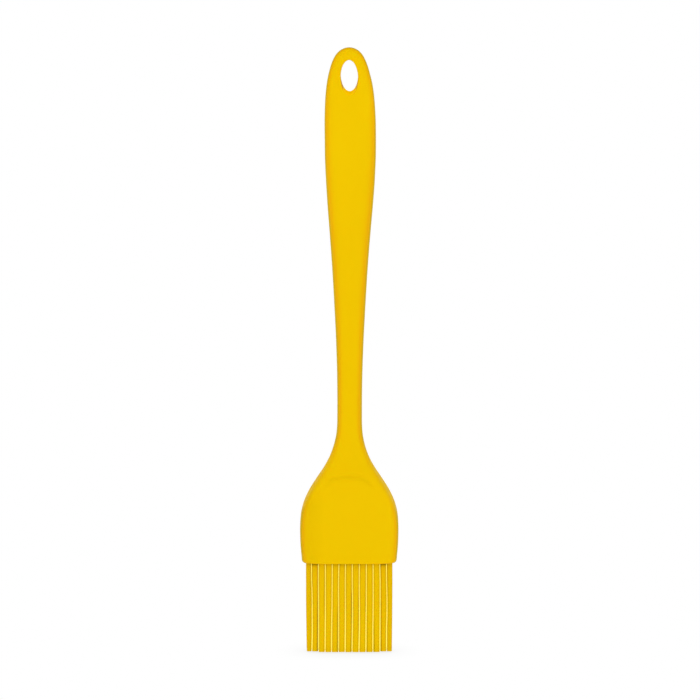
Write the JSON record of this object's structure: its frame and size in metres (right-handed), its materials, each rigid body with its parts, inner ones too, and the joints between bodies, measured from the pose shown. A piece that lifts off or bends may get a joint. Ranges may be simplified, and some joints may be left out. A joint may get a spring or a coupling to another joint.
{
  "type": "silicone basting brush",
  "caption": "Flat silicone basting brush with square-cut flexible strands, a slim neck, a crowned grip handle and an oval hanging hole.",
  "frame": {"origin": "centre of the plane the strand tips end on", "axes": "+Z from the strand tips up to the hanging end, X across the width of the head, Y through its depth"},
  "size_m": [0.0402, 0.015, 0.25],
  "materials": {
    "silicone_skin": "matte silicone",
    "silicone_strands": "matte silicone",
    "nylon_core": "moulded nylon, hidden"
  },
  "bodies": {
    "handle": {"handle_core": "nylon_core", "handle_skin": "silicone_skin", "strand_base": "silicone_strands"},
    "front_row": {"strand_row_front": "silicone_strands"},
    "inner_front_row": {"strand_row_inner_front": "silicone_strands"},
    "inner_back_row": {"strand_row_inner_back": "silicone_strands"},
    "back_row": {"strand_row_back": "silicone_strands"},
    "end_front_row": {"strand_row_end_front": "silicone_strands"},
    "end_middle_row": {"strand_row_end_middle": "silicone_strands"},
    "end_back_row": {"strand_row_end_back": "silicone_strands"}
  },
  "joints": [
    {"name": "inner_front_row_bend", "type": "hinge", "parent": "handle", "child": "inner_front_row", "pos_m": [0, -0.0014, 0.03795], "axis": [1, 0, 0], "range_deg": [-30, 30], "stiffness_Nm_per_rad": 0.002},
    {"name": "front_row_bend", "type": "hinge", "parent": "handle", "child": "front_row", "pos_m": [0, -0.0042, 0.03795], "axis": [1, 0, 0], "range_deg": [-30, 30], "stiffness_Nm_per_rad": 0.002},
    {"name": "inner_back_row_bend", "type": "hinge", "parent": "handle", "child": "inner_back_row", "pos_m": [0, 0.0014, 0.03795], "axis": [1, 0, 0], "range_deg": [-30, 30], "stiffness_Nm_per_rad": 0.002},
    {"name": "back_row_bend", "type": "hinge", "parent": "handle", "child": "back_row", "pos_m": [0, 0.0042, 0.03795], "axis": [1, 0, 0], "range_deg": [-30, 30], "stiffness_Nm_per_rad": 0.002},
    {"name": "end_front_row_bend", "type": "hinge", "parent": "handle", "child": "end_front_row", "pos_m": [0, -0.0028, 0.03795], "axis": [1, 0, 0], "range_deg": [-30, 30], "stiffness_Nm_per_rad": 0.002},
    {"name": "end_middle_row_bend", "type": "hinge", "parent": "handle", "child": "end_middle_row", "pos_m": [0, 0, 0.03795], "axis": [1, 0, 0], "range_deg": [-30, 30], "stiffness_Nm_per_rad": 0.002},
    {"name": "end_back_row_bend", "type": "hinge", "parent": "handle", "child": "end_back_row", "pos_m": [0, 0.0028, 0.03795], "axis": [1, 0, 0], "range_deg": [-30, 30], "stiffness_Nm_per_rad": 0.002}
  ],
  "couplings": [
    {"joint": "front_row_bend", "follows": "inner_front_row_bend", "ratio": 1},
    {"joint": "inner_back_row_bend", "follows": "inner_front_row_bend", "ratio": 1},
    {"joint": "back_row_bend", "follows": "inner_front_row_bend", "ratio": 1},
    {"joint": "end_front_row_bend", "follows": "inner_front_row_bend", "ratio": 1},
    {"joint": "end_middle_row_bend", "follows": "inner_front_row_bend", "ratio": 1},
    {"joint": "end_back_row_bend", "follows": "inner_front_row_bend", "ratio": 1}
  ]
}
